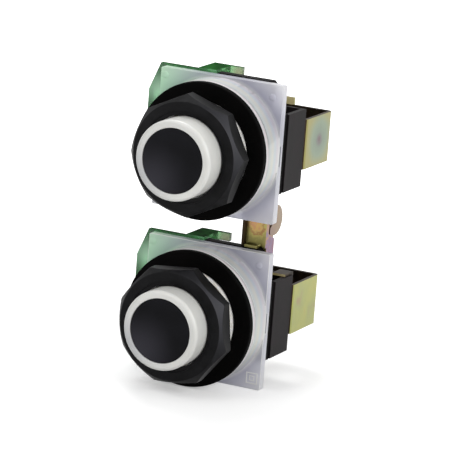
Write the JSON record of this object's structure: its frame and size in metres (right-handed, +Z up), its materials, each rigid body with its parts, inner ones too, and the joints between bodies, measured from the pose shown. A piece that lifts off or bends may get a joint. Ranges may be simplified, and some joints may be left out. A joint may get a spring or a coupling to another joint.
{
  "type": "interlocked panel pushbuttons",
  "caption": "Interlocked panel pushbuttons with octagonal ring nuts, milky square housings, contact blocks and a rocking lever that pushes one button out as the other goes in.",
  "frame": {"origin": "midway between the two barrel axes, in the plane where the gaskets meet the rear of the panel", "axes": "+X to the right seen from the front, +Y to the rear, +Z up; the buttons face -Y"},
  "size_m": [0.0514, 0.075, 0.1052],
  "materials": {
    "spring_steel": "bright drawn wire",
    "seal_rubber": "moulded, dull",
    "bright_barrel": "bright machined",
    "black_nut_plastic": "satin moulded black",
    "gasket_rubber": "smooth dull black",
    "milky_plastic": "natural milky moulded plastic",
    "black_base_plastic": "moulded black",
    "zinc_steel": "bright zinc plated",
    "green_clear_plastic": "clear green moulded plastic",
    "contact_brass": "stamped strip",
    "charcoal_plastic": "moulded charcoal",
    "yellow_zinc_sheet": "yellow passivated zinc sheet",
    "black_insert_plastic": "fine-grained moulded black",
    "cream_plastic": "smooth moulded off-white",
    "nylon_plastic": "natural nylon",
    "tan_zinc_sheet": "passivated zinc sheet, tan"
  },
  "bodies": {
    "root": {"upper_return_spring": "spring_steel", "upper_shaft_seal": "seal_rubber", "upper_barrel": "bright_barrel", "upper_ring_nut": "black_nut_plastic", "upper_gasket": "gasket_rubber", "upper_housing": "milky_plastic", "upper_base_plate": "black_base_plastic", "upper_base_screws": "zinc_steel", "upper_contact_cover": "green_clear_plastic", "upper_contact_base": "black_base_plastic", "upper_fixed_contacts": "contact_brass", "upper_terminal_clamps": "zinc_steel", "upper_terminal_screws": "zinc_steel", "upper_block_screws": "zinc_steel", "upper_interlock_block": "charcoal_plastic", "upper_interlock_screws": "zinc_steel", "upper_rear_bracket": "yellow_zinc_sheet", "upper_bracket_screws": "zinc_steel", "lower_return_spring": "spring_steel", "lower_shaft_seal": "seal_rubber", "lower_barrel": "bright_barrel", "lower_ring_nut": "black_nut_plastic", "lower_gasket": "gasket_rubber", "lower_housing": "milky_plastic", "lower_base_plate": "black_base_plastic", "lower_base_screws": "zinc_steel", "lower_contact_cover": "green_clear_plastic", "lower_contact_base": "black_base_plastic", "lower_fixed_contacts": "contact_brass", "lower_terminal_clamps": "zinc_steel", "lower_terminal_screws": "zinc_steel", "lower_block_screws": "zinc_steel", "lower_interlock_block": "charcoal_plastic", "lower_interlock_screws": "zinc_steel", "lower_rear_bracket": "yellow_zinc_sheet", "lower_bracket_screws": "zinc_steel", "link_channel": "yellow_zinc_sheet", "pivot_pin": "zinc_steel", "pivot_spacer": "zinc_steel", "link_screws": "zinc_steel"},
    "upper_button": {"upper_button_insert": "black_insert_plastic", "upper_button_head": "cream_plastic", "upper_plunger": "nylon_plastic", "upper_cross_pin": "zinc_steel", "upper_contact_slider": "nylon_plastic", "upper_contact_bridge": "contact_brass", "upper_bridge_spring": "spring_steel"},
    "lower_button": {"lower_button_insert": "black_insert_plastic", "lower_button_head": "cream_plastic", "lower_plunger": "nylon_plastic", "lower_cross_pin": "zinc_steel", "lower_contact_slider": "nylon_plastic", "lower_contact_bridge": "contact_brass", "lower_bridge_spring": "spring_steel"},
    "rocker": {"rocker": "tan_zinc_sheet"}
  },
  "joints": [
    {"name": "upper_button_slide", "type": "slide", "parent": "root", "child": "upper_button", "axis": [0, 1, 0], "range_m": [-0.00275, 0.00275], "stiffness_N_per_m": 1000, "deforming": ["upper_return_spring"]},
    {"name": "lower_button_slide", "type": "slide", "parent": "root", "child": "lower_button", "axis": [0, 1, 0], "range_m": [-0.00275, 0.00275], "stiffness_N_per_m": 1000, "deforming": ["lower_return_spring"]},
    {"name": "rocker_pivot", "type": "hinge", "parent": "root", "child": "rocker", "pos_m": [0.0154, 0.0261, 0], "axis": [1, 0, 0], "range_deg": [-5.51, 5.51]}
  ],
  "couplings": [
    {"joint": "lower_button_slide", "follows": "upper_button_slide", "ratio": -1},
    {"joint": "rocker_pivot", "follows": "upper_button_slide", "rad_per_m": -34.996}
  ]
}
